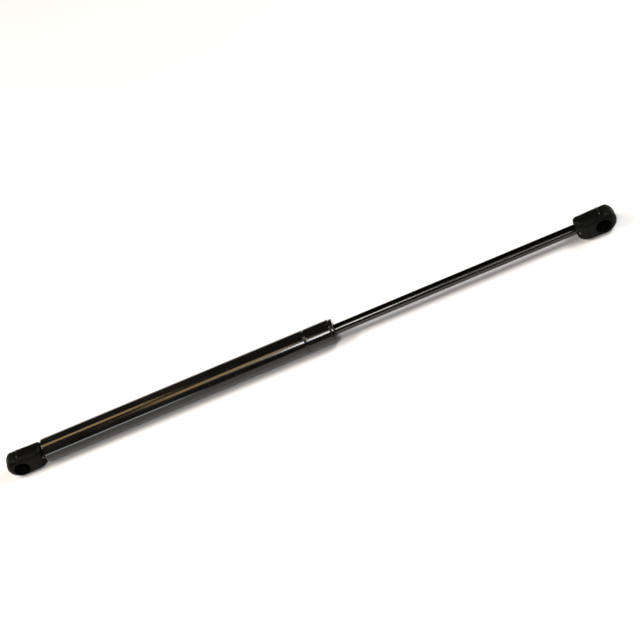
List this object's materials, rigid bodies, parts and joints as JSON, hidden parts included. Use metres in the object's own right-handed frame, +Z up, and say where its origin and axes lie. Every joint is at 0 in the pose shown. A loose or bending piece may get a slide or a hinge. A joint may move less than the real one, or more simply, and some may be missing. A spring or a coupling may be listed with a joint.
{
  "type": "gas strut stay",
  "caption": "Gas spring stay for a window, flap or shutter: black cylinder tube, sliding rod, and a moulded ball socket with a wire safety clip at each end.",
  "frame": {"origin": "middle of the overall length, on the strut's axis, with the rod fully out", "axes": "+X along the strut from the cylinder tube to the rod end; both socket mouths face -Y; +Z is up as the strut lies on the sides of its sockets"},
  "size_m": [0.4998, 0.019, 0.0194],
  "materials": {
    "black_enamel": "gloss black enamel",
    "nitrided_rod": "ground and black nitrided, glossy",
    "black_nylon": "fine grained moulded glass-filled nylon",
    "clip_steel": "dark phosphated spring wire",
    "plain_steel": "turned steel",
    "sintered_steel": "matt sintered steel",
    "seal_rubber": "matt nitrile rubber",
    "ptfe": "bronze-filled bearing plastic"
  },
  "bodies": {
    "barrel": {"cylinder_tube": "black_enamel", "base_plug": "plain_steel", "base_seal_ring": "seal_rubber", "tube_end_socket": "black_nylon", "tube_end_insert": "plain_steel", "support_ring": "plain_steel", "rod_seal": "seal_rubber", "seal_washer": "plain_steel", "rod_guide": "sintered_steel", "guide_liner": "ptfe"},
    "tube_end_clip": {"tube_end_safety_clip": "clip_steel"},
    "sliding_ring": {"piston_ring": "ptfe"},
    "rod": {"piston_rod": "nitrided_rod", "piston_body": "sintered_steel", "piston_orifice_disc": "plain_steel", "piston_upper_washer": "plain_steel", "piston_lower_washer": "plain_steel", "rebound_bumper": "seal_rubber", "rod_end_socket": "black_nylon", "rod_end_insert": "plain_steel"},
    "rod_end_clip": {"rod_end_safety_clip": "clip_steel"}
  },
  "joints": [
    {"name": "rod_slide", "type": "slide", "parent": "barrel", "child": "sliding_ring", "axis": [1, 0, 0], "range_m": [-0.19, 0], "stiffness_N_per_m": 300, "springref_m": 0.5},
    {"name": "rod_turn", "type": "hinge", "parent": "sliding_ring", "child": "rod", "pos_m": [0, 0, 0], "axis": [1, 0, 0], "continuous": true},
    {"name": "tube_end_clip_lift", "type": "slide", "parent": "barrel", "child": "tube_end_clip", "axis": [0, 1, 0], "range_m": [0, 0.004]},
    {"name": "rod_end_clip_lift", "type": "slide", "parent": "rod", "child": "rod_end_clip", "axis": [0, 1, 0], "range_m": [0, 0.004]}
  ]
}
